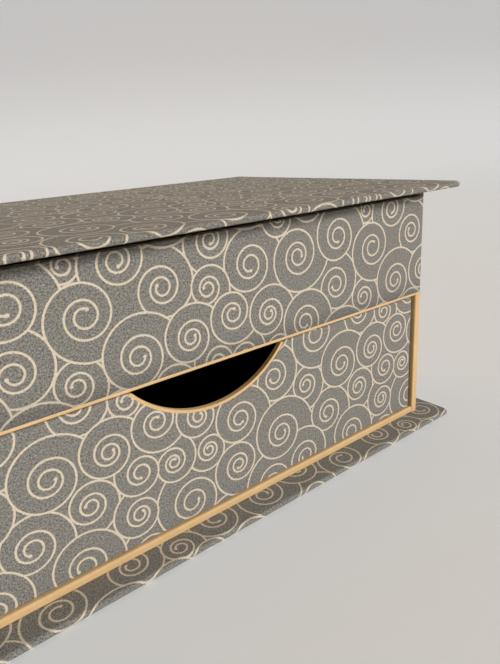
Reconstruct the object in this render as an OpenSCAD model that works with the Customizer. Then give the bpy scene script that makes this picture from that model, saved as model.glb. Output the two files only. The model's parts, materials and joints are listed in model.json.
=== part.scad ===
// Sewing box of covered board: a tray under a cloth-hinged lid, and a drawer
// below the tray with a half-moon finger cut.
// Millimetres. +X is the right side, -Y the front, +Z up, and z = 0 is the table.

/* [Case] */
// Outside width of the covered case
case_w = 231; // [180:1:300]
// Outside depth of the covered case
case_d = 146; // [120:1:200]
// Height of the side and back walls from the base to the rim
wall_h = 105.8; // [96:0.1:130]
// How far the lid and the base stand out at the front
overhang = 10.8; // [6:0.1:14]
// How far the lid and the base stand out at each side
side_overhang = 12; // [6:0.1:14]

/* [Board, card and skins] */
// Thickness of the walls' stiff board
board_t = 3; // [2:0.1:3.5]
// Thickness of the floor and shelf board
floor_board_t = 2.3; // [2:0.1:3]
// Thickness of a layer of glued cloth or paper
skin_t = 0.4; // [0.3:0.05:0.6]
// Thickness of the lining card
card_t = 1.2; // [0.8:0.1:1.6]
// Thickness of the board in the lid and the base
cover_board_t = 1.6; // [1.6:0.1:3.2]
// Thickness of the drawer's side, back and bottom board
drawer_board_t = 2; // [1.5:0.1:2.5]
// Thickness of the drawer's front board
drawer_front_t = 1.3; // [1.2:0.1:2.5]
// Thickness of the strip round the finger cut
binding_t = 1.1; // [0.4:0.1:1.4]

/* [Lid and base] */
// Gap between the rim and the underside of the lid
lid_gap = 0.4; // [0.3:0.1:1]
// Corner radius of the lid and the base, seen from above
corner_r = 3; // [2.5:0.1:6]
// Radius that the cloth eases the edges of the lid and the base to
edge_r = 1.1; // [0.8:0.1:1.1]
// Depth of the cloth turned in under the lid and the base
turn_in = 24; // [22:1:32]
// How far the front panel stops below the rim, so that a fingertip lifts the lid
panel_drop = 2.4; // [1.5:0.1:4]
// Gap all round between the lid's lining and the tray
lining_gap = 1.5; // [0.8:0.1:2.5]
// How far the tray's lining stops below the rim
lining_drop = 1.5; // [1:0.1:4]

/* [Drawer] */
// Height of the upper front panel's lower edge above the base
panel_z = 60.4; // [56:0.1:68]
// How far the drawer front sits behind the case front
recess = 1; // [0.8:0.1:4]
// Gap at each side of the drawer
side_gap = 1.2; // [0.4:0.1:1.6]
// Gap above the drawer
top_gap = 0.8; // [0.4:0.1:1.5]
// Gap below the drawer
slide_gap = 0.3; // [0.3:0.1:0.6]
// Gap behind the drawer
back_gap = 1; // [0.5:0.1:3]
// Radius of the half-moon finger cut
cut_r = 40.5; // [34:0.1:46]
// Lowest point of the finger cut above the base
cut_low = 43.6; // [36:0.1:46]

/* [Hidden] */
$fn = 64;
eps = 1;

cover_t = cover_board_t + 2 * skin_t;
fold_r = 2 * skin_t;
cover_w = case_w + 2 * side_overhang;
cover_d = case_d + overhang;

// Depth: the footprint of the base is centred on the origin
back_y = cover_d / 2;
front_y = back_y - case_d;
shell_back_y = back_y - skin_t;
back_wall_y = shell_back_y - board_t;
panel_back_y = front_y + skin_t + board_t;

// Width: half widths from the outside in
wall_out_x = case_w / 2 - skin_t;
wall_in_x = wall_out_x - board_t;
bay_x = wall_in_x - skin_t;
tray_x = wall_in_x - card_t;

// Height: from the table up
base_z = cover_t;
floor_z = base_z + floor_board_t + 2 * skin_t;
shelf_z = base_z + panel_z;
ceiling_z = shelf_z - card_t;
tray_z = shelf_z + floor_board_t + card_t;
rim_z = base_z + wall_h;
panel_top_z = rim_z - panel_drop;
lid_z = rim_z + lid_gap;
lid_top_z = lid_z + cover_t;

// Tray, inside its linings
tray_front_y = panel_back_y + card_t;
tray_back_y = back_wall_y - card_t;

// Drawer
bay_back_y = back_wall_y - skin_t;
drawer_x = bay_x - side_gap;
drawer_y = front_y + recess;
drawer_z = floor_z + slide_gap;
drawer_top_z = ceiling_z - top_gap;
drawer_board_y = drawer_y + skin_t;
drawer_in_y = drawer_board_y + drawer_front_t;
drawer_back_y = bay_back_y - back_gap;
side_out_x = drawer_x - skin_t;
side_in_x = side_out_x - drawer_board_t;
side_top_z = drawer_top_z - skin_t;
box_back_y = drawer_back_y - skin_t;
box_in_y = box_back_y - drawer_board_t;
box_floor_z = drawer_z + drawer_board_t;
well_x = side_in_x - skin_t;
well_front_y = drawer_in_y + skin_t;
well_back_y = box_in_y - skin_t;
well_z = box_floor_z + skin_t;
cut_z = base_z + cut_low + cut_r;

cloth_colour = [0.54, 0.52, 0.48];
tan_colour = [0.84, 0.68, 0.45];
board_colour = [0.62, 0.59, 0.54];
dark_colour = [0.07, 0.07, 0.07];

// A block between two opposite corners
module block(low, high) {
    translate(low)
        cube(high - low);
}

// A sheet of even thickness, drawn in plan and raised from one height to another
module upright(low_z, high_z) {
    translate([0, 0, low_z])
        linear_extrude(high_z - low_z)
            children();
}

// An outline drawn as (depth, height), run across the box between two x values
module across(low_x, high_x) {
    translate([low_x, 0, 0])
        rotate([90, 0, 90])
            linear_extrude(high_x - low_x)
                children();
}

// An outline drawn as (width, height), run back between two y values
module back_from(low_y, high_y) {
    translate([0, high_y, 0])
        rotate([90, 0, 0])
            linear_extrude(high_y - low_y)
                children();
}

// A rectangle in the plane between two opposite corners
module plate(low, high) {
    translate(low)
        square(high - low);
}

// What easing a fold to a radius takes away at one corner of an outline
module fold_waste(corner, inward, r) {
    difference() {
        translate(corner + inward * (r - eps) / 2)
            square(r + eps, center = true);
        translate(corner + inward * r)
            circle(r);
    }
}

// Edge-on outline of a board: the corners at its low end, and if asked at its high end, are eased
module soft_outline(low, high, t, r, both_ends) {
    difference() {
        plate([low, 0], [high, t]);
        fold_waste([low, 0], [1, 1], r);
        fold_waste([low, t], [1, -1], r);
        if (both_ends) {
            fold_waste([high, 0], [-1, 1], r);
            fold_waste([high, t], [-1, -1], r);
        }
    }
}

// The lid or the base with eased edges and rounded front corners, less an inset all round.
// The back edge is eased too, unless the hinge cloth closes it.
module soft_board(inset, hinged) {
    t = cover_t - 2 * inset;
    r = edge_r - inset;
    x = cover_w / 2 - inset;
    low_y = inset - cover_d / 2;
    high_y = hinged ? shell_back_y : -low_y;
    translate([0, 0, inset])
        difference() {
            intersection() {
                across(-x - eps, x + eps)
                    soft_outline(low_y, high_y, t, r, !hinged);
                back_from(low_y - eps, high_y + eps)
                    soft_outline(-x, x, t, r, true);
            }
            upright(-eps, t + eps)
                for (side = [-1, 1])
                    fold_waste([side * x, low_y], [-side, 1], corner_r - inset);
        }
}

// The part of the underside that the turned-in cloth leaves open
module turn_in_window() {
    block([turn_in - cover_w / 2, turn_in - cover_d / 2, -eps],
          [cover_w / 2 - turn_in, cover_d / 2 - turn_in, skin_t + eps / 2]);
}

// The cloth round the lid or the base board, turned in underneath
module cover_skin(hinged) {
    difference() {
        soft_board(0, hinged);
        soft_board(skin_t, hinged);
        turn_in_window();
    }
}

module base_board() {
    color(board_colour)
        soft_board(skin_t, false);
}

module base_cover() {
    color(cloth_colour)
        cover_skin(false);
}

// Fills the window under the base, flush with the turned-in cloth
module base_liner() {
    color(tan_colour)
        block([turn_in - cover_w / 2, turn_in - cover_d / 2, 0],
              [cover_w / 2 - turn_in, cover_d / 2 - turn_in, skin_t]);
}

// Walls, panel and shelf

module floor_board() {
    color(board_colour)
        block([-bay_x, front_y + skin_t, base_z + skin_t],
              [bay_x, back_wall_y, floor_z - skin_t]);
}

// Paper folded round the front edge of the floor board, over and under it
module floor_wrap() {
    color(tan_colour)
        across(-bay_x, bay_x)
            difference() {
                plate([front_y, base_z], [back_wall_y, floor_z]);
                plate([front_y + skin_t, base_z + skin_t], [back_wall_y + eps, floor_z - skin_t]);
                fold_waste([front_y, base_z], [1, 1], fold_r);
                fold_waste([front_y, floor_z], [1, -1], fold_r);
            }
}

module side_wall() {
    block([wall_in_x, front_y + skin_t, base_z], [wall_out_x, shell_back_y, rim_z - skin_t]);
}

module right_wall() {
    color(board_colour)
        side_wall();
}

module left_wall() {
    color(board_colour)
        mirror([1, 0, 0])
            side_wall();
}

module back_wall() {
    color(board_colour)
        block([-wall_in_x, back_wall_y, base_z], [wall_in_x, shell_back_y, rim_z - skin_t]);
}

module front_panel() {
    color(board_colour)
        block([-wall_in_x, front_y + skin_t, shelf_z], [wall_in_x, panel_back_y, panel_top_z - skin_t]);
}

module shelf_board() {
    color(board_colour)
        block([-wall_in_x, panel_back_y, shelf_z], [wall_in_x, back_wall_y, shelf_z + floor_board_t]);
}

// Plan of the case with its front corners softened by the cloth
module case_plan() {
    difference() {
        plate([-case_w / 2, front_y], [case_w / 2, shell_back_y]);
        for (side = [-1, 1])
            fold_waste([side * case_w / 2, front_y], [-side, 1], fold_r);
    }
}

// Cloth over the front panel and both sides, turned over the rim and the panel's top edge
module case_cover() {
    color(cloth_colour)
        difference() {
            upright(base_z, rim_z)
                case_plan();
            block([-wall_out_x, panel_back_y, base_z - eps], [wall_out_x, back_y, rim_z - skin_t]);
            block([-wall_out_x, front_y + skin_t, base_z - eps],
                  [wall_out_x, back_y, panel_top_z - skin_t]);
            for (side = [-1, 1])
                block([side * (wall_in_x + board_t / 2) - board_t / 2, front_y + skin_t, base_z],
                      [side * (wall_in_x + board_t / 2) + board_t / 2, back_y, rim_z - skin_t]);
            block([-wall_in_x, front_y - eps, panel_top_z], [wall_in_x, back_wall_y, rim_z + eps]);
            block([-wall_in_x, panel_back_y, base_z], [wall_in_x, back_wall_y, rim_z + eps]);
            block([-wall_out_x, front_y - eps, base_z - eps], [wall_out_x, panel_back_y, shelf_z]);
        }
}

// Cloth on the back wall, carried up over the lid's back edge: the lid swings on it
module hinge_cloth() {
    color(cloth_colour)
        back_from(shell_back_y, back_y) {
            plate([-case_w / 2, base_z], [case_w / 2, lid_z]);
            plate([corner_r - cover_w / 2, lid_z], [cover_w / 2 - corner_r, lid_top_z]);
        }
}

// Lining of the drawer bay

module bay_ceiling() {
    color(tan_colour)
        across(-bay_x, bay_x)
            difference() {
                plate([front_y, ceiling_z], [back_wall_y, shelf_z]);
                fold_waste([front_y, ceiling_z], [1, 1], skin_t);
                fold_waste([front_y, shelf_z], [1, -1], skin_t);
            }
}

// Paper on the inside of a side wall, turned round the wall's front edge
module bay_side_lining() {
    upright(base_z, shelf_z)
        difference() {
            plate([bay_x, front_y], [wall_out_x, back_wall_y]);
            plate([wall_in_x, front_y + skin_t], [wall_out_x + eps, back_wall_y + eps]);
            fold_waste([bay_x, front_y], [1, 1], fold_r);
        }
}

module bay_right_lining() {
    color(tan_colour)
        bay_side_lining();
}

module bay_left_lining() {
    color(tan_colour)
        mirror([1, 0, 0])
            bay_side_lining();
}

module bay_back_lining() {
    color(tan_colour)
        block([-bay_x, bay_back_y, floor_z], [bay_x, back_wall_y, ceiling_z]);
}

// Lining of the tray

module tray_floor_lining() {
    color(tan_colour)
        block([-wall_in_x, panel_back_y, shelf_z + floor_board_t],
              [wall_in_x, back_wall_y, tray_z]);
}

module tray_front_lining() {
    color(tan_colour)
        block([-wall_in_x, panel_back_y, tray_z],
              [wall_in_x, tray_front_y, panel_top_z - lining_drop]);
}

module tray_back_lining() {
    color(tan_colour)
        block([-wall_in_x, tray_back_y, tray_z], [wall_in_x, back_wall_y, rim_z - lining_drop]);
}

module tray_side_lining() {
    block([tray_x, tray_front_y, tray_z], [wall_in_x, tray_back_y, rim_z - lining_drop]);
}

module tray_right_lining() {
    color(tan_colour)
        tray_side_lining();
}

module tray_left_lining() {
    color(tan_colour)
        mirror([1, 0, 0])
            tray_side_lining();
}

// Lid

module lid_board() {
    color(board_colour)
        translate([0, 0, lid_z])
            soft_board(skin_t, true);
}

module lid_cover() {
    color(cloth_colour)
        translate([0, 0, lid_z])
            cover_skin(true);
}

// Card under the lid that drops into the mouth of the tray
module lid_lining() {
    color(tan_colour)
        block([lining_gap - tray_x, tray_front_y + lining_gap, lid_z - card_t],
              [tray_x - lining_gap, tray_back_y - lining_gap, lid_z]);
}

// Drawer

// Opens the half-moon in whatever stands behind the drawer's face
module with_finger_cut(r) {
    difference() {
        children();
        back_from(drawer_y - eps, well_front_y + eps)
            translate([0, cut_z])
                circle(r, $fn = 128);
    }
}

module drawer_front() {
    color(board_colour)
        with_finger_cut(cut_r + binding_t)
            block([-side_out_x, drawer_board_y, drawer_z + skin_t],
                  [side_out_x, drawer_in_y, drawer_top_z - skin_t]);
}

// Cloth on the drawer's face, folded back over its four edges
module drawer_front_cover() {
    color(cloth_colour)
        with_finger_cut(cut_r + binding_t)
            difference() {
                block([-drawer_x, drawer_y, drawer_z], [drawer_x, drawer_in_y, drawer_top_z]);
                block([-side_out_x, drawer_board_y, drawer_z + skin_t],
                      [side_out_x, drawer_in_y + eps, drawer_top_z - skin_t]);
            }
}

// Card strip glued round the edge of the half-moon
module finger_cut_binding() {
    color(tan_colour)
        back_from(drawer_y + skin_t / 2, well_front_y)
            intersection() {
                translate([0, cut_z])
                    difference() {
                        circle(cut_r + binding_t, $fn = 128);
                        circle(cut_r, $fn = 128);
                    }
                plate([-drawer_x, drawer_z], [drawer_x, side_top_z]);
            }
}

module drawer_side() {
    block([side_in_x, drawer_in_y, drawer_z], [side_out_x, box_back_y, side_top_z]);
}

module drawer_right() {
    color(board_colour)
        drawer_side();
}

module drawer_left() {
    color(board_colour)
        mirror([1, 0, 0])
            drawer_side();
}

module drawer_back() {
    color(board_colour)
        block([-side_in_x, box_in_y, drawer_z], [side_in_x, box_back_y, side_top_z]);
}

module drawer_bottom() {
    color(board_colour)
        block([-side_in_x, drawer_in_y, drawer_z], [side_in_x, box_in_y, box_floor_z]);
}

// Paper round the outside of the drawer's sides and back
module drawer_wrap() {
    color(tan_colour)
        upright(drawer_z, side_top_z)
            difference() {
                plate([-drawer_x, drawer_in_y], [drawer_x, drawer_back_y]);
                plate([-side_out_x, drawer_in_y - eps], [side_out_x, box_back_y]);
            }
}

module drawer_floor_lining() {
    color(dark_colour)
        block([-side_in_x, drawer_in_y, box_floor_z], [side_in_x, box_in_y, well_z]);
}

module drawer_front_lining() {
    color(dark_colour)
        with_finger_cut(cut_r + binding_t)
            block([-side_in_x, drawer_in_y, well_z], [side_in_x, well_front_y, side_top_z]);
}

module drawer_back_lining() {
    color(dark_colour)
        block([-side_in_x, well_back_y, well_z], [side_in_x, box_in_y, side_top_z]);
}

module drawer_side_lining() {
    block([well_x, well_front_y, well_z], [side_in_x, well_back_y, side_top_z]);
}

module drawer_right_lining() {
    color(dark_colour)
        drawer_side_lining();
}

module drawer_left_lining() {
    color(dark_colour)
        mirror([1, 0, 0])
            drawer_side_lining();
}

base_board();
base_cover();
base_liner();
floor_board();
floor_wrap();
left_wall();
right_wall();
back_wall();
front_panel();
shelf_board();
case_cover();
hinge_cloth();
bay_ceiling();
bay_left_lining();
bay_right_lining();
bay_back_lining();
tray_floor_lining();
tray_front_lining();
tray_back_lining();
tray_left_lining();
tray_right_lining();
lid_board();
lid_cover();
lid_lining();
drawer_front();
drawer_front_cover();
finger_cut_binding();
drawer_left();
drawer_right();
drawer_back();
drawer_bottom();
drawer_wrap();
drawer_floor_lining();
drawer_front_lining();
drawer_back_lining();
drawer_left_lining();
drawer_right_lining();
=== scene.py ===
"""Looks of the covered-board sewing box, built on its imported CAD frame."""
import json
import math

import bpy
import numpy as np
from mathutils import Matrix, Vector, noise


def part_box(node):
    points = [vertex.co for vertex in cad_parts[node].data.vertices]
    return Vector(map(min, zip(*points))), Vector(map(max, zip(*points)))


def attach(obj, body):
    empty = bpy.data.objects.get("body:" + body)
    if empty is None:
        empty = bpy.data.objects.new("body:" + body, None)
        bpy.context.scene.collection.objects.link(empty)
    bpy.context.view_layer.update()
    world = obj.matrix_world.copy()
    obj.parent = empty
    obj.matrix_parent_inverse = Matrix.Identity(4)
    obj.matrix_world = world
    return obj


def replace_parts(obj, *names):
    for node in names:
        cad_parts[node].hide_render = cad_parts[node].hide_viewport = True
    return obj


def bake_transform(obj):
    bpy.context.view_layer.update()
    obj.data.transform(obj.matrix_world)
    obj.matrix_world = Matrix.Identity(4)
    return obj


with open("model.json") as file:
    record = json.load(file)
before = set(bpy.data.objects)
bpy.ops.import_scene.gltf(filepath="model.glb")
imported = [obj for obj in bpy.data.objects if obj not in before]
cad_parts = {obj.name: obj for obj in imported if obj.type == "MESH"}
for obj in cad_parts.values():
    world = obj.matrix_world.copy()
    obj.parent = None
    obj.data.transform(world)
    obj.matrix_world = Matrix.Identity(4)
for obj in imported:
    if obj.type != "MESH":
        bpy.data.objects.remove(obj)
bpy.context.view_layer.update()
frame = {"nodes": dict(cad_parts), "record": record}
MM = 0.001

# Sizes, in metres, taken from the CAD nodes where they have them
lid_low, lid_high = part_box("lid_cover")
base_low, base_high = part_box("base_cover")
case_low, case_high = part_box("case_cover")
hinge_low, hinge_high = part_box("hinge_cloth")
drawer_low, drawer_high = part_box("drawer_front_cover")
shelf_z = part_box("shelf_board")[0].z
panel_back_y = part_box("front_panel")[1].y
wall_in_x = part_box("right_wall")[0].x
wall_out_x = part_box("right_wall")[1].x
# Sizes that the CAD boxes don't give: cloth, and the corners, edges and turn-ins of lid and base
SKIN = 0.4 * MM
CORNER_R = 3.0 * MM
EDGE_R = 1.1 * MM
TURN_IN = 24.0 * MM
# Radii of the cloth's folds at the case's corners and drawer's edges, and at the rim
FOLD_R = 0.8 * MM
RIM_R = 0.7 * MM
# The half-moon with its binding: radius, and height of its centre
CUT_EDGE_R = 41.6 * MM
CUT_Z = 86.5 * MM
# Spacing of mesh points along flat cloth
BOARD_PITCH = 6 * MM
WALL_PITCH = 8 * MM
CUT_PITCH = 1.2 * MM
FOLD_STEPS = 5
# Height and length of the slight waves in the cloth on the lid and the base
RIPPLE = 0.10 * MM
RIPPLE_LENGTH = 35 * MM


# Swirl print, in millimetres of cloth

TILE = (124.0, 100.0)
# The least and greatest radius at which a spiral starts, before all are scaled to fill the tile
SPIRAL_RADII = (7.0, 17.0)
SPIRAL_COUNT = 37
# How far a spiral's radius shrinks in one turn
TURN_RATIO = 0.5
LINE_W = 0.70
LINE_SOFT = 0.1
END_DOT_R = 0.58
PRINT_SWAY = 0.6
# The circles' area as a share of the tile's: they overlap a little
FILL = 1.03
LAYOUT_SEED = 2
CROWDING_STEPS = 900
LEAST_TURNS = 2.4
EXTRA_TURNS = 0.5
LARGE_SPIRAL_R = 11.0
LARGE_SPIRAL_TURNS = 0.3
# A spiral's first turn is close to a circle: this circle's radius, and how far its middle lies
# from the spiral's centre, as shares of the radius at which the spiral starts
BODY_SHARE = 0.7625
LEAN_SHARE = 0.1075


def ways_between(middle):
    """The shortest way from every middle to every other on a tile that repeats, and its length."""
    tile = np.array(TILE)
    way = middle[None, :] - middle[:, None]
    way -= tile * np.round(way / tile)
    return way, np.hypot(way[..., 0], way[..., 1]) + 1e-6


def crowded_middles(rng, body_r):
    """Middles of circles that have pushed each other apart until they crowd the tile."""
    middle = rng.random((len(body_r), 2)) * TILE
    reach = body_r[:, None] + body_r[None, :]
    for step in range(CROWDING_STEPS):
        way, length = ways_between(middle)
        overlap = np.clip(reach - length, 0.0, None)
        np.fill_diagonal(overlap, 0.0)
        push = -(way / length[..., None] * overlap[..., None]).sum(axis=1)
        middle = (middle + 0.3 * push) % TILE
    return middle


def laying_order(gap, first):
    """The order in which circles are laid, each next to one already laid, and that one for each."""
    order = [first]
    beside = {}
    while len(order) < len(gap):
        waiting = [i for i in range(len(gap)) if i not in beside and i != first]
        block = gap[np.ix_(waiting, order)]
        row, column = np.unravel_index(np.argmin(block), block.shape)
        beside[waiting[row]] = order[column]
        order.append(waiting[row])
    return order, beside


def laid_spirals():
    """Spirals on the tile, lowest first: rows of (x, y, start radius, phase, side, turns)."""
    rng = np.random.default_rng(LAYOUT_SEED)
    spread = np.sqrt(np.linspace(0.0, 1.0, SPIRAL_COUNT))
    start_r = SPIRAL_RADII[0] + spread * (SPIRAL_RADII[1] - SPIRAL_RADII[0])
    start_r *= math.sqrt(FILL * TILE[0] * TILE[1] / (math.pi * ((BODY_SHARE * start_r) ** 2).sum()))
    body_r = BODY_SHARE * start_r
    middle = crowded_middles(rng, body_r)
    way, length = ways_between(middle)
    gap = length - body_r[:, None] - body_r[None, :]
    np.fill_diagonal(gap, 1e9)

    def room(i, others, angle, reach):
        """Distance from a point beside circle i to the nearest of some other circles."""
        spot = reach * body_r[i] * np.array([math.cos(angle), math.sin(angle)])
        return min([math.dist(way[i, j], spot) - body_r[j] for j in others], default=9.0)

    order, beside = laying_order(gap, int(np.argmax(start_r)))
    spirals = []
    for rank, i in enumerate(order):
        lower = order[rank + 1:]
        if i in beside:
            start = math.atan2(way[i, beside[i], 1], way[i, beside[i], 0])
        else:
            angles = [math.radians(10 * k) for k in range(36)]
            start = max(angles, key=lambda angle: room(i, lower, angle, 1.25))
        side = max((1.0, -1.0), key=lambda s: room(i, lower, start - s * math.radians(35), 1.0))
        lean = start + side * math.pi / 2.0
        centre = middle[i] - LEAN_SHARE * start_r[i] * np.array([math.cos(lean), math.sin(lean)])
        turns = LEAST_TURNS + EXTRA_TURNS * rng.random() + LARGE_SPIRAL_TURNS * (start_r[i] > LARGE_SPIRAL_R)
        phase = -start * side / (2.0 * math.pi)
        spirals.append((centre[0], centre[1], start_r[i], phase, side, turns))
    return spirals[::-1]


def tile_copies(spirals):
    """The spirals and their repeats that reach into the tile."""
    copies = []
    for x, y, start_r, *habits in spirals:
        for shift_x in (-TILE[0], 0.0, TILE[0]):
            for shift_y in (-TILE[1], 0.0, TILE[1]):
                cx = x + shift_x
                cy = y + shift_y
                near_x = min(max(cx, 0.0), TILE[0])
                near_y = min(max(cy, 0.0), TILE[1])
                if math.hypot(cx - near_x, cy - near_y) < start_r:
                    copies.append((cx, cy, start_r, *habits))
    return copies


class Nodes:
    """Short calls for making shader nodes in one tree."""

    def __init__(self, tree):
        self.tree = tree

    def put(self, socket, value):
        """Links another node's output to a socket, or sets the socket's own value."""
        if isinstance(value, bpy.types.NodeSocket):
            self.tree.links.new(value, socket)
        elif value is not None:
            socket.default_value = value

    def new(self, kind, **settings):
        node = self.tree.nodes.new(kind)
        for name, value in settings.items():
            setattr(node, name, value)
        return node

    def math(self, operation, a, b=None, c=None, clamp=False):
        node = self.new("ShaderNodeMath", operation=operation, use_clamp=clamp)
        for socket, value in zip(node.inputs, (a, b, c)):
            self.put(socket, value)
        return node.outputs[0]

    def vector(self, operation, a, b=None, c=None):
        node = self.new("ShaderNodeVectorMath", operation=operation)
        for socket, value in zip(node.inputs, (a, b, c)):
            self.put(socket, value)
        return node.outputs["Value" if operation in ("DISTANCE", "LENGTH", "DOT_PRODUCT") else "Vector"]

    def mix_vector(self, factor, a, b):
        node = self.new("ShaderNodeMix", data_type="VECTOR")
        self.put(node.inputs[0], factor)
        self.put(node.inputs[4], a)
        self.put(node.inputs[5], b)
        return node.outputs[1]

    def mix_colour(self, factor, a, b):
        node = self.new("ShaderNodeMix", data_type="RGBA")
        self.put(node.inputs[0], factor)
        self.put(node.inputs[6], a)
        self.put(node.inputs[7], b)
        return node.outputs[2]

    def step(self, value, low, high):
        """0 at low, 1 at high, eased between."""
        node = self.new("ShaderNodeMapRange", interpolation_type="SMOOTHSTEP")
        for socket, item in zip(node.inputs, (value, low, high, 0.0, 1.0)):
            self.put(socket, item)
        return node.outputs[0]

    def noise(self, where, scale, detail=2.0, roughness=0.5):
        node = self.new("ShaderNodeTexNoise")
        self.put(node.inputs["Vector"], where)
        self.put(node.inputs["Scale"], scale)
        self.put(node.inputs["Detail"], detail)
        self.put(node.inputs["Roughness"], roughness)
        return node.outputs[0]

    def split(self, value):
        node = self.new("ShaderNodeSeparateXYZ")
        self.put(node.inputs[0], value)
        return node.outputs


def swirl_group():
    """A node group: cloth position in millimetres in, 1 on a printed line and 0 between lines out."""
    tree = bpy.data.node_groups.new("swirl_print", "ShaderNodeTree")
    tree.interface.new_socket("Position", in_out="INPUT", socket_type="NodeSocketVector")
    tree.interface.new_socket("Line", in_out="OUTPUT", socket_type="NodeSocketFloat")
    n = Nodes(tree)
    position = n.new("NodeGroupInput").outputs[0]
    point = n.vector("WRAP", position, (TILE[0], TILE[1], 1.0), (0.0, 0.0, 0.0))
    point = n.vector("MULTIPLY", point, (1.0, 1.0, 0.0))

    def turn_at(place, turns_per_radian, phase):
        """How far round from a spiral's start a place lies, from 0 to 1."""
        x = n.vector("DOT_PRODUCT", place, (1.0, 0.0, 0.0))
        y = n.vector("DOT_PRODUCT", place, (0.0, 1.0, 0.0))
        return n.math("FRACT", n.math("MULTIPLY_ADD", n.math("ARCTAN2", y, x), turns_per_radian, phase))

    # The top spiral whose first turn is round a point wins: z of the place carries its start radius
    place = (0.0, 0.0, 0.0)
    habits = (0.0, 1.0, 0.0)
    full_turn = 2.0 * math.pi
    for x, y, start_r, *own in tile_copies(laid_spirals()):
        phase, side, turns = own
        own_place = n.vector("SUBTRACT", point, (x, y, -start_r))
        turn = turn_at(own_place, side / full_turn, phase)
        reach = n.math("MULTIPLY_ADD", n.math("POWER", TURN_RATIO, turn), start_r, 0.5 * LINE_W)
        inside = n.math("LESS_THAN", n.vector("DISTANCE", point, (x, y, 0.0)), reach)
        place = n.mix_vector(inside, place, own_place)
        habits = n.mix_vector(inside, habits, own)
    phase, side, turns = n.split(habits)
    start_r = n.split(place)[2]
    flat = n.vector("MULTIPLY", place, (1.0, 1.0, 0.0))
    distance = n.vector("LENGTH", flat)
    turn = turn_at(place, n.math("MULTIPLY", side, 1.0 / full_turn), phase)
    share = n.math("DIVIDE", n.math("ADD", distance, 1e-4), n.math("ADD", start_r, 1e-4))
    depth = n.math("DIVIDE", n.math("LOGARITHM", share, math.e), math.log(TURN_RATIO))
    along = n.math("ADD", n.math("ROUND", n.math("SUBTRACT", depth, turn)), turn)
    line_r = n.math("MULTIPLY", start_r, n.math("POWER", TURN_RATIO, along))
    off_line = n.math("ABSOLUTE", n.math("SUBTRACT", distance, line_r))
    line = n.step(off_line, 0.5 * LINE_W + LINE_SOFT, 0.5 * LINE_W - LINE_SOFT)
    line = n.math("MULTIPLY", line, n.math("LESS_THAN", along, turns))
    line = n.math("MULTIPLY", line, n.math("GREATER_THAN", along, -0.02))
    # A small dot closes the inner end
    end_r = n.math("MULTIPLY", start_r, n.math("POWER", TURN_RATIO, turns))
    end_angle = n.math("MULTIPLY", n.math("MULTIPLY", n.math("SUBTRACT", turns, phase), side), full_turn)
    end = n.new("ShaderNodeCombineXYZ")
    n.put(end.inputs[0], n.math("MULTIPLY", end_r, n.math("COSINE", end_angle)))
    n.put(end.inputs[1], n.math("MULTIPLY", end_r, n.math("SINE", end_angle)))
    dot = n.step(n.vector("DISTANCE", flat, end.outputs[0]), END_DOT_R + LINE_SOFT, END_DOT_R - LINE_SOFT)
    line = n.math("MAXIMUM", line, dot)
    line = n.math("MULTIPLY", line, n.math("GREATER_THAN", start_r, 0.5))
    n.put(n.new("NodeGroupOutput").inputs[0], line)
    return tree


# Materials

# Noise cells per millimetre along and across a thread, and the strength of that grain
GRAIN_ALONG = 1.25
GRAIN_ACROSS = 2.3
GRAIN_GAIN = 2.4
# Two threads of the weave, in millimetres
THREAD_PITCH = 0.7


def new_material(name):
    """A material with its node calls and its surface shader."""
    material = bpy.data.materials.new(name)
    material.use_nodes = True
    n = Nodes(material.node_tree)
    surface = material.node_tree.nodes["Principled BSDF"]
    return material, n, surface


def cloth_material(swirl):
    """Fine grey woven cotton printed with cream swirls; the UV map holds millimetres of cloth."""
    material, n, surface = new_material("printed_cloth")
    uv = n.new("ShaderNodeUVMap", uv_map="cloth").outputs[0]
    weft = n.noise(n.vector("MULTIPLY", uv, (GRAIN_ALONG, GRAIN_ACROSS, 1.0)), 1.0, 2.0, 0.8)
    warp = n.noise(n.vector("MULTIPLY", uv, (GRAIN_ACROSS, GRAIN_ALONG, 1.0)), 1.0, 2.0, 0.8)
    # The weave makes the edges of the print a little rough
    sway = n.new("ShaderNodeCombineXYZ")
    n.put(sway.inputs[0], weft)
    n.put(sway.inputs[1], warp)
    group = n.new("ShaderNodeGroup", node_tree=swirl)
    n.put(group.inputs[0], n.vector("MULTIPLY_ADD", sway.outputs[0], (PRINT_SWAY, PRINT_SWAY, 0.0), uv))
    line = group.outputs[0]
    grain = n.math("MULTIPLY_ADD", n.math("ADD", weft, warp), GRAIN_GAIN, -GRAIN_GAIN)
    patches = n.noise(uv, 0.06, 3.0, 0.6)
    shade = n.math("ADD", grain, 0.5, clamp=True)
    grey = n.mix_colour(shade, GREY_DARK, GREY_LIGHT)
    grey = n.mix_colour(n.math("MULTIPLY", patches, 0.22), grey, GREY_PATCH)
    cream = n.mix_colour(shade, CREAM_DARK, CREAM_LIGHT)
    n.put(surface.inputs["Base Color"], n.mix_colour(line, grey, cream))
    surface.inputs["Roughness"].default_value = 0.85
    surface.inputs["Specular IOR Level"].default_value = 0.25
    surface.inputs["Sheen Weight"].default_value = 0.05
    # Plain weave: threads over and under each other
    u, v, unused = n.split(uv)
    waves = [n.math("SINE", n.math("MULTIPLY", way, 2.0 * math.pi / THREAD_PITCH)) for way in (u, v)]
    threads = n.math("MULTIPLY", waves[0], waves[1])
    height = n.math("MULTIPLY_ADD", threads, 0.35, grain)
    bump = n.new("ShaderNodeBump")
    bump.inputs["Strength"].default_value = 0.35
    bump.inputs["Distance"].default_value = 0.00012
    n.put(bump.inputs["Height"], height)
    n.put(surface.inputs["Normal"], bump.outputs[0])
    return material


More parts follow.
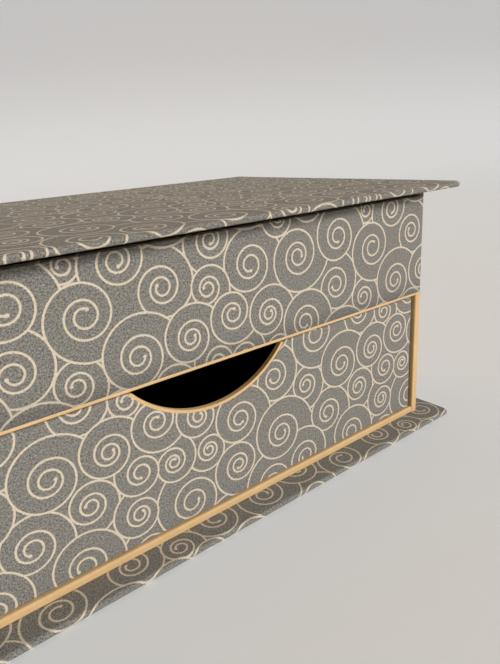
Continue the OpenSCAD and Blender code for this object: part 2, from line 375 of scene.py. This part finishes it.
def paper_material(name, dark, light, roughness, fibre=0.25):
    """Plain paper with fibres and faint blotches, placed by the object's own coordinates."""
    material, n, surface = new_material(name)
    where = n.new("ShaderNodeTexCoord").outputs["Object"]
    where = n.vector("MULTIPLY", where, (1.0 / MM, 1.0 / MM, 1.0 / MM))
    fine = n.noise(where, 1.6, 3.0, 0.65)
    long_x = n.noise(n.vector("MULTIPLY", where, (0.25, 2.0, 2.0)), 1.0, 2.0, 0.6)
    blotch = n.noise(where, 0.07, 3.0, 0.55)
    mixed = n.math("MULTIPLY_ADD", fine, 0.5, n.math("MULTIPLY", long_x, 0.3))
    mixed = n.math("MULTIPLY_ADD", blotch, 0.5, mixed)
    shade = n.step(mixed, 0.35, 0.95)
    n.put(surface.inputs["Base Color"], n.mix_colour(shade, dark, light))
    surface.inputs["Roughness"].default_value = roughness
    surface.inputs["Specular IOR Level"].default_value = 0.3
    bump = n.new("ShaderNodeBump")
    bump.inputs["Strength"].default_value = fibre
    bump.inputs["Distance"].default_value = 0.0001
    n.put(bump.inputs["Height"], n.math("ADD", fine, long_x))
    n.put(surface.inputs["Normal"], bump.outputs[0])
    return material


def tinted(value, tint):
    return (value * tint[0], value * tint[1], value * tint[2], 1.0)


GREY_TINT = (1.0, 0.95, 0.85)
GREY_DARK = tinted(0.06, GREY_TINT)
GREY_LIGHT = tinted(0.32, GREY_TINT)
GREY_PATCH = tinted(0.21, (1.0, 0.94, 0.83))
CREAM_DARK = tinted(0.55, (1.0, 0.86, 0.66))
CREAM_LIGHT = tinted(0.68, (1.0, 0.86, 0.67))

cloth = cloth_material(swirl_group())
tan_paper = paper_material("tan_paper", (0.56, 0.37, 0.17, 1.0), (0.72, 0.49, 0.25, 1.0), 0.6)
dark_paper = paper_material("dark_lining_paper", (0.006, 0.006, 0.006, 1.0), (0.02, 0.019, 0.018, 1.0), 0.75)
board = paper_material("grey_board", (0.24, 0.22, 0.19, 1.0), (0.36, 0.33, 0.28, 1.0), 0.9, 0.5)

SLOT_MATERIALS = {"tan_paper": tan_paper, "dark_paper": dark_paper, "board": board, "cloth": cloth}
for part in frame["record"]["subparts"]:
    node = frame["nodes"][part["node"]]
    node.data.materials.clear()
    node.data.materials.append(SLOT_MATERIALS[part["material_slot"]])


# Cloth pieces

# Where each piece lies on the flat cloth, in millimetres
LID_CLOTH = (3.0, 17.0)
BASE_CLOTH = (55.0, 71.0)
CASE_CLOTH = (31.0, 12.0)
DRAWER_CLOTH = (64.0, 39.0)
BACK_RIM_CLOTH = 7.0


def grid_piece(name, points, cloth_at, keep=None):
    """A mesh over a grid of points, with the flat cloth's millimetres as its UV map."""
    rows, columns = len(points), len(points[0])
    corners = [(0, 0), (0, 1), (1, 1), (1, 0)]
    faces = []
    for i in range(rows - 1):
        for j in range(columns - 1):
            if keep is None or keep(i, j):
                faces.append([(i + a) * columns + j + b for a, b in corners])
    mesh = bpy.data.meshes.new(name)
    mesh.from_pydata([p for row in points for p in row], [], faces)
    return cloth_piece(name, mesh, [c for row in cloth_at for c in row])


def cloth_piece(name, mesh, cloth_at):
    """An object of printed cloth from a mesh and each point's place on the flat cloth."""
    uv = mesh.uv_layers.new(name="cloth")
    for loop in mesh.loops:
        uv.data[loop.index].uv = cloth_at[loop.vertex_index]
    mesh.materials.append(cloth)
    for polygon in mesh.polygons:
        polygon.use_smooth = True
    mesh.update()
    piece = bpy.data.objects.new(name, mesh)
    bpy.context.scene.collection.objects.link(piece)
    return piece


def thicken(piece, thickness):
    """Gives an open sheet its thickness, inward from the face that shows."""
    bpy.context.view_layer.objects.active = piece
    shell = piece.modifiers.new("thickness", "SOLIDIFY")
    shell.thickness = thickness
    shell.offset = -1.0
    shell.use_even_offset = True
    bpy.ops.object.modifier_apply(modifier=shell.name)


def join(pieces):
    """One piece from several; the first keeps its name."""
    bpy.ops.object.select_all(action="DESELECT")
    for piece in pieces:
        piece.select_set(True)
    bpy.context.view_layer.objects.active = pieces[0]
    bpy.ops.object.join()
    return pieces[0]


def spaced(low, high, pitch):
    """Even steps from low to high, about a pitch apart."""
    count = max(1, round((high - low) / pitch))
    return [low + (high - low) * i / count for i in range(count + 1)]


def over_edge(flat, thickness):
    """Steps of cloth over a board's eased edge: (along, outward, height above the middle)."""
    face = thickness - 2.0 * EDGE_R
    quarter = math.pi / 2.0 * EDGE_R
    high = thickness / 2.0 - EDGE_R
    turns = [math.pi / 2.0 * i / FOLD_STEPS for i in range(FOLD_STEPS + 1)]
    steps = [(0.0, 0.0, thickness / 2.0)]
    for a in turns:
        steps.append((flat + a * EDGE_R, flat + EDGE_R * math.sin(a), high + EDGE_R * math.cos(a)))
    for a in turns:
        along = flat + quarter + face + a * EDGE_R
        steps.append((along, flat + EDGE_R * math.cos(a), -high - EDGE_R * math.sin(a)))
    return steps


def board_cover(name, low, high, back_end, cloth_offset):
    """Cloth drawn over a board and round its edges, with mitred turn-ins underneath."""
    thickness = high.z - low.z
    flat = CORNER_R - EDGE_R
    middle_z = (high.z + low.z) / 2.0
    profile = {along: (out, up) for along, out, up in over_edge(flat, thickness)}
    inner_x = high.x - CORNER_R
    front_y = low.y + CORNER_R
    back_y = high.y - CORNER_R if back_end is None else back_end
    steps = sorted(profile)
    xs = [-inner_x - s for s in reversed(steps)] + spaced(-inner_x, inner_x, BOARD_PITCH)[1:-1]
    xs += [inner_x + s for s in steps]
    ys = [front_y - s for s in reversed(steps)] + spaced(front_y, back_y, BOARD_PITCH)[1:-1]
    ys += [back_y + s for s in steps] if back_end is None else [back_y]

    def place(u, v):
        """Where a point of the flat cloth lies on the board."""
        past_x = max(abs(u) - inner_x, 0.0)
        past_y = max(front_y - v, v - back_y, 0.0)
        side_x = math.copysign(1.0, u)
        side_y = -1.0 if v < front_y else 1.0
        past = min(steps, key=lambda along: abs(along - max(past_x, past_y)))
        if past_x > past_y:
            angle = math.pi / 4 * past_y / past_x
        elif past_y > 0.0:
            angle = math.pi / 2 - math.pi / 4 * past_x / past_y
        else:
            angle = 0.0
        out, up = profile[past]
        x = side_x * (min(abs(u), inner_x) + out * math.cos(angle) * (past_x > 0.0))
        y = min(max(v, front_y), back_y) + side_y * out * math.sin(angle) * (past_y > 0.0)
        ripple = RIPPLE * noise.noise(Vector((u / RIPPLE_LENGTH, v / RIPPLE_LENGTH, cloth_offset[0])))
        return x, y, middle_z + up + ripple

    points = [[place(u, v) for u in xs] for v in ys]
    cloth_at = [[(u / MM + cloth_offset[0], v / MM + cloth_offset[1]) for u in xs] for v in ys]
    top = grid_piece(name, points, cloth_at)

    half_x = high.x - EDGE_R
    near_y = low.y + EDGE_R
    far_y = high.y - EDGE_R if back_end is None else high.y
    wrap = math.pi * EDGE_R + thickness - 2.0 * EDGE_R
    trim = 0.3 * flat
    outer = [(-half_x + trim, near_y + trim), (half_x - trim, near_y + trim),
             (half_x - trim, far_y - trim), (-half_x + trim, far_y - trim)]
    inset = TURN_IN - EDGE_R
    inner = [(-half_x + inset, near_y + inset), (half_x - inset, near_y + inset),
             (half_x - inset, far_y - inset), (-half_x + inset, far_y - inset)]
    turned = []
    for i in range(4):
        j = (i + 1) % 4
        ring = [outer[i], inner[i], inner[j], outer[j]]
        mesh = bpy.data.meshes.new(name + "_turn_in")
        mesh.from_pydata([(x, y, low.z) for x, y in ring], [], [(0, 1, 2, 3)])
        edge_middle = (Vector(outer[i]) + Vector(outer[j])) / 2.0
        if i % 2 == 0:
            away = Vector((0.0, math.copysign(1.0, edge_middle.y)))
        else:
            away = Vector((math.copysign(1.0, edge_middle.x), 0.0))
        edge = abs(Vector(outer[i]).dot(away))
        flat_cloth = []
        for corner in ring:
            point = Vector(corner)
            unfolded = point + away * (2.0 * (edge - point.dot(away)) + wrap)
            flat_cloth.append((unfolded.x / MM + cloth_offset[0], unfolded.y / MM + cloth_offset[1]))
        turned.append(cloth_piece(name + "_turn_in", mesh, flat_cloth))
    return join([top] + turned)


def over_rim(top, depth):
    """Steps of cloth over a wall's top edge: (height, back from the face)."""
    quarter = [math.pi / 2 * i / FOLD_STEPS for i in range(1, FOLD_STEPS + 1)]
    steps = [(top - RIM_R + RIM_R * math.sin(a), RIM_R * (1.0 - math.cos(a))) for a in quarter]
    return steps + [(top, depth)]


def case_cloth():
    """One strip of cloth round the left side, the front panel and the right side, turned over the rim."""
    x = case_high.x
    front = case_low.y
    back = case_high.y
    panel_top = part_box("front_panel")[1].z + SKIN
    arc = [math.radians(15 * i) for i in range(7)]
    path = []
    for y in spaced(back, front + FOLD_R, WALL_PITCH)[:-1]:
        path.append(((-x, y), (-1.0, 0.0), None))
    for a in arc:
        normal = (-math.cos(a), -math.sin(a))
        centre = (-x + FOLD_R, front + FOLD_R)
        path.append(((centre[0] + FOLD_R * normal[0], centre[1] + FOLD_R * normal[1]), normal, centre))
    for px in spaced(-wall_in_x, wall_in_x, WALL_PITCH):
        path.append(((px, front), (0.0, -1.0), None))
    for a in reversed(arc):
        normal = (math.cos(a), -math.sin(a))
        centre = (x - FOLD_R, front + FOLD_R)
        path.append(((centre[0] + FOLD_R * normal[0], centre[1] + FOLD_R * normal[1]), normal, centre))
    for y in spaced(front + FOLD_R, back, WALL_PITCH)[1:]:
        path.append(((x, y), (1.0, 0.0), None))

    def inset(step, amount):
        """A step of the path moved in from the cloth's face."""
        (px, py), (nx, ny), centre = step
        if centre is None:
            return px - nx * amount, py - ny * amount
        if amount <= FOLD_R:
            reach = FOLD_R - amount
            return centre[0] + nx * reach, centre[1] + ny * reach
        return math.copysign(x - amount, px), front + amount

    rows = [(z, 0.0) for z in spaced(case_low.z, shelf_z, WALL_PITCH)]
    rows += [(z, 0.0) for z in spaced(shelf_z, panel_top - RIM_R, WALL_PITCH)[1:]]
    panel_rows = len(rows)
    rows.append((case_high.z - RIM_R, 0.0))
    rows += over_rim(case_high.z, x - wall_in_x)
    along = [0.0]
    for a, b in zip(path, path[1:]):
        along.append(along[-1] + math.dist(a[0], b[0]))
    middle = along[-1] / 2.0
    up = [0.0]
    for a, b in zip(rows, rows[1:]):
        up.append(up[-1] + math.dist(a, b))
    points = [[(*inset(step, amount), z) for step in path] for z, amount in rows]
    cloth_at = [[((s - middle) / MM + CASE_CLOTH[0], u / MM + CASE_CLOTH[1]) for s in along] for u in up]

    def keep(i, j):
        """Leaves the drawer's opening free, and the gap above the panel."""
        below_panel = rows[i + 1][0] <= shelf_z + 1e-6
        above_panel = i >= panel_rows - 1
        ends = (path[j][0], path[j + 1][0])
        at_front = max(y for px, y in ends) < front + FOLD_R
        within_walls = at_front and max(abs(px) for px, y in ends) < wall_out_x + 1e-6
        within_panel = at_front and max(abs(px) for px, y in ends) < wall_in_x + 1e-6
        return not (below_panel and within_walls or above_panel and within_panel)

    piece = grid_piece("case_cloth", points, cloth_at, keep)
    thicken(piece, 0.9 * SKIN)
    # The panel's own top edge, lower than the rim
    turned = rows[panel_rows - 1:panel_rows] + over_rim(panel_top, panel_back_y - front)
    reach = [up[panel_rows - 1]]
    for a, b in zip(turned, turned[1:]):
        reach.append(reach[-1] + math.dist(a, b))
    xs = spaced(-wall_in_x, wall_in_x, WALL_PITCH)
    points = [[(px, front + amount, z) for px in xs] for z, amount in turned]
    cloth_at = [[(px / MM + CASE_CLOTH[0], u / MM + CASE_CLOTH[1]) for px in xs] for u in reach]
    return join([piece, grid_piece("panel_edge_cloth", points, cloth_at)])


def back_rim_cloth():
    """The strip of cloth over the back wall's rim, between the sides."""
    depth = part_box("back_wall")[0].y
    points = [[(x, y, case_high.z) for x in (-wall_in_x, wall_in_x)] for y in (depth, case_high.y)]
    cloth_at = [[(p[0] / MM + BACK_RIM_CLOTH, p[1] / MM) for p in row] for row in points]
    return grid_piece("back_rim_cloth", points, cloth_at)


def drawer_cloth():
    """Cloth on the drawer's face with its half-moon, folded back over the edges."""
    top = drawer_high.z
    bottom = drawer_low.z
    side = drawer_high.x
    face = drawer_low.y
    depth = drawer_high.y - face
    cut_x = math.sqrt(CUT_EDGE_R ** 2 - (CUT_Z - top) ** 2)
    quarter = [math.pi / 2 * i / FOLD_STEPS for i in range(FOLD_STEPS + 1)]
    # Round an edge: (in from the edge, back from the face)
    fold = [(FOLD_R * (1.0 - math.sin(a)), FOLD_R * (1.0 - math.cos(a))) for a in quarter]
    fold += [(0.0, depth)]

    def top_edge(x):
        """Height of the cloth's top edge and the way out of the cloth there."""
        if abs(x) >= cut_x:
            return top, (0.0, 1.0)
        drop = math.sqrt(CUT_EDGE_R ** 2 - x ** 2)
        return CUT_Z - drop, (-x / CUT_EDGE_R, drop / CUT_EDGE_R)

    flat_x = side - FOLD_R
    xs = spaced(-flat_x, -cut_x, BOARD_PITCH)[:-1] + spaced(-cut_x, cut_x, CUT_PITCH)
    xs += spaced(cut_x, flat_x, BOARD_PITCH)[1:]
    columns = [(-side + i, b) for i, b in reversed(fold[1:])] + [(x, 0.0) for x in xs]
    columns += [(side - i, b) for i, b in fold[1:]]
    rows_between = 10

    def column(x, side_back):
        """Points up the face at one place across it, with the folds at its foot and top."""
        at_top, way = top_edge(x)
        cut = abs(x) < cut_x
        fold_r = 0.35 if cut else 1.0
        points = []
        for inward, back in reversed(fold[1:]):
            points.append((x, face + max(side_back, back), bottom + inward))
        low = bottom + FOLD_R
        edge_in = FOLD_R * fold_r
        end = (x - way[0] * edge_in, at_top - way[1] * edge_in)
        for i in range(rows_between + 1):
            t = i / rows_between
            points.append((x + (end[0] - x) * t ** 3, face + side_back, low + (end[1] - low) * t))
        for inward, back in fold[1:]:
            inward *= fold_r
            back = back * fold_r if back < depth else depth
            points.append((x - way[0] * inward, face + max(side_back, back), at_top - way[1] * inward))
        return points

    grid = [column(x, back) for x, back in columns]
    points = [list(row) for row in zip(*grid)]
    cloth_at = []
    for row in points:
        line = []
        for p in row:
            extra = p[1] - face
            u = p[0] + math.copysign(extra, p[0]) * (abs(p[0]) > flat_x)
            v = p[2] + extra * (1.0 if p[2] > (top + bottom) / 2 else -1.0) * (abs(p[0]) <= flat_x)
            line.append((u / MM + DRAWER_CLOTH[0], v / MM + DRAWER_CLOTH[1]))
        cloth_at.append(line)
    return grid_piece("drawer_face_cloth", points, cloth_at)


def hinge_piece():
    """Cloth from the lid's top, over its back edge and down the back wall: the lid's hinge."""
    top_r = EDGE_R
    lid_z = lid_low.z
    back = hinge_high.y
    wide = hinge_high.x
    narrow = case_high.x
    bend_z = lid_z - 4 * MM
    straight_top = hinge_high.z - top_r
    wall_rows, bend_rows, edge_rows, fold_rows = 14, 10, 3, 7
    rows = [(hinge_low.z + (bend_z - hinge_low.z) * i / wall_rows, back) for i in range(wall_rows + 1)]
    rows += [(bend_z + (lid_z - bend_z) * i / bend_rows, back) for i in range(1, bend_rows + 1)]
    rows += [(lid_z + (straight_top - lid_z) * i / edge_rows, back) for i in range(1, edge_rows + 1)]
    for i in range(1, fold_rows + 1):
        a = math.pi / 2 * i / fold_rows
        rows.append((hinge_high.z - top_r + top_r * math.sin(a), back - top_r + top_r * math.cos(a)))
    xs = [-wide, -(wide + narrow) / 2] + spaced(-narrow, narrow, WALL_PITCH) + [(wide + narrow) / 2, wide]
    points = [[(x, y, z) for x in xs] for z, y in rows]
    up = [0.0]
    for a, b in zip(rows, rows[1:]):
        up.append(up[-1] + math.dist(a, b))
    lid_edge = (back - top_r) / MM + LID_CLOTH[1]
    cloth_at = [[(x / MM + LID_CLOTH[0], lid_edge + (up[-1] - u) / MM) for x in xs] for u in up]

    def keep(i, j):
        """The cloth is as wide as the lid on the lid, and as the case below it."""
        on_lid = rows[i][0] >= lid_z - 0.1 * MM
        return on_lid or (2 <= j < len(xs) - 3)

    piece = grid_piece("hinge_cloth_bent", points, cloth_at, keep)
    piece.data.flip_normals()
    return piece


lid_piece = board_cover("lid_cloth", lid_low, lid_high, hinge_high.y - EDGE_R, LID_CLOTH)
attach(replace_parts(lid_piece, "lid_cover"), "lid")
base_piece = board_cover("base_cloth", base_low, base_high, None, BASE_CLOTH)
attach(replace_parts(base_piece, "base_cover"), "case")
case_piece = join([case_cloth(), back_rim_cloth()])
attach(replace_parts(case_piece, "case_cover"), "case")
drawer_piece = drawer_cloth()
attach(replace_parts(drawer_piece, "drawer_front_cover"), "drawer")
hinge = hinge_piece()
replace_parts(hinge, "hinge_cloth")
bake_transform(hinge)


# Stage, light and camera

FLOOR_COLOUR = (0.91, 0.94, 0.98, 1.0)
WALL_COLOUR = (0.71, 0.72, 0.75, 1.0)


def backdrop():
    """A floor that curves up into a wall well behind the box."""
    bend_r = 1.1
    bend_steps = 24
    wall_y = 2.3
    wall_top = 2.4
    half_width = 6.0
    profile = [(-half_width, 0.0), (wall_y - bend_r, 0.0)]
    for i in range(1, bend_steps + 1):
        a = math.pi / 2 * i / bend_steps
        profile.append((wall_y - bend_r + bend_r * math.sin(a), bend_r - bend_r * math.cos(a)))
    profile.append((wall_y, wall_top))
    turn = Matrix.Rotation(-CAMERA_YAW, 3, "Z")
    points = []
    for y, z in profile:
        points += [turn @ Vector((x, y, z)) for x in (-half_width, half_width)]
    faces = [(2 * i, 2 * i + 1, 2 * i + 3, 2 * i + 2) for i in range(len(profile) - 1)]
    mesh = bpy.data.meshes.new("backdrop")
    mesh.from_pydata(points, [], faces)
    for polygon in mesh.polygons:
        polygon.use_smooth = True
    material, n, surface = new_material("backdrop")
    height = n.split(n.new("ShaderNodeTexCoord").outputs["Object"])[2]
    colour = n.mix_colour(n.step(height, 0.0, 0.5), FLOOR_COLOUR, WALL_COLOUR)
    n.put(surface.inputs["Base Color"], colour)
    surface.inputs["Roughness"].default_value = 0.9
    mesh.materials.append(material)
    piece = bpy.data.objects.new("backdrop", mesh)
    bpy.context.scene.collection.objects.link(piece)


def add_light(name, kind, place, power, colour):
    """A light at a place, turned to the middle of the box."""
    light = bpy.data.lights.new(name, kind)
    light.energy = power
    light.color = colour
    piece = bpy.data.objects.new(name, light)
    piece.location = place
    aim = Vector((0.0, 0.0, 0.06)) - Vector(place)
    piece.rotation_euler = aim.to_track_quat("-Z", "Y").to_euler()
    bpy.context.scene.collection.objects.link(piece)
    piece.visible_camera = False
    return light


def window_light(place, degrees_wide, power, colour):
    """Even light from a far, broad window."""
    light = add_light("window", "SUN", place, power, colour)
    light.angle = math.radians(degrees_wide)


def round_light(name, place, size, power, colour):
    """Soft light from a disk."""
    light = add_light(name, "AREA", place, power, colour)
    light.shape = "DISK"
    light.size = size


def room_world():
    """Weak warm light from all round, and a pale room where the world itself is seen."""
    world = bpy.data.worlds.new("soft_room")
    world.use_nodes = True
    n = Nodes(world.node_tree)
    light = world.node_tree.nodes["Background"]
    light.inputs["Color"].default_value = (1.0, 0.82, 0.58, 1.0)
    light.inputs["Strength"].default_value = 0.12
    seen = n.new("ShaderNodeBackground")
    seen.inputs["Color"].default_value = (0.62, 0.60, 0.58, 1.0)
    ray = n.new("ShaderNodeLightPath").outputs
    looking = n.math("MAXIMUM", ray["Is Camera Ray"], ray["Is Glossy Ray"])
    looking = n.math("MAXIMUM", looking, ray["Is Transmission Ray"])
    mixed = n.new("ShaderNodeMixShader")
    n.put(mixed.inputs[0], looking)
    n.put(mixed.inputs[1], light.outputs[0])
    n.put(mixed.inputs[2], seen.outputs[0])
    n.put(world.node_tree.nodes["World Output"].inputs[0], mixed.outputs[0])
    bpy.context.scene.world = world


# Fitted to the straight edges of the box in the photograph: metres, radians and pixels
CAMERA_PLACE = Vector((-0.09897, -0.21774, 0.13333))
CAMERA_YAW = 0.6531
CAMERA_PITCH = 0.3288
CAMERA_ROLL = -0.0627
FOCAL_PIXELS = 565.64
PHOTO_SIZE = (500, 664)


def place_camera():
    """The photograph's view: a point, a turn to the right, a look down and a small roll."""
    ahead = Vector((math.sin(CAMERA_YAW) * math.cos(CAMERA_PITCH),
                    math.cos(CAMERA_YAW) * math.cos(CAMERA_PITCH),
                    -math.sin(CAMERA_PITCH)))
    right = Vector((math.cos(CAMERA_YAW), -math.sin(CAMERA_YAW), 0.0))
    up = right.cross(ahead)
    turned_right = math.cos(CAMERA_ROLL) * right + math.sin(CAMERA_ROLL) * up
    turned_up = math.cos(CAMERA_ROLL) * up - math.sin(CAMERA_ROLL) * right
    data = bpy.data.cameras.new("photo_camera")
    data.sensor_width = 36.0
    data.lens = FOCAL_PIXELS / PHOTO_SIZE[1] * data.sensor_width
    data.clip_start = 0.005
    camera = bpy.data.objects.new("photo_camera", data)
    axes = Matrix((turned_right, turned_up, -ahead)).transposed()
    camera.matrix_world = Matrix.Translation(CAMERA_PLACE) @ axes.to_4x4()
    bpy.context.scene.collection.objects.link(camera)
    bpy.context.scene.camera = camera


backdrop()
window_light((2.0, -3.1, 1.5), 17.5, 3.4, (1.0, 0.99, 0.975))
round_light("ceiling", (-0.1, 0.5, 1.6), 1.4, 3.5, (1.0, 0.64, 0.26))
round_light("back_fill", (-1.9, 1.3, 0.4), 1.0, 4.5, (1.0, 0.94, 0.86))
room_world()
place_camera()

bpy.context.scene.view_settings.view_transform = "Standard"
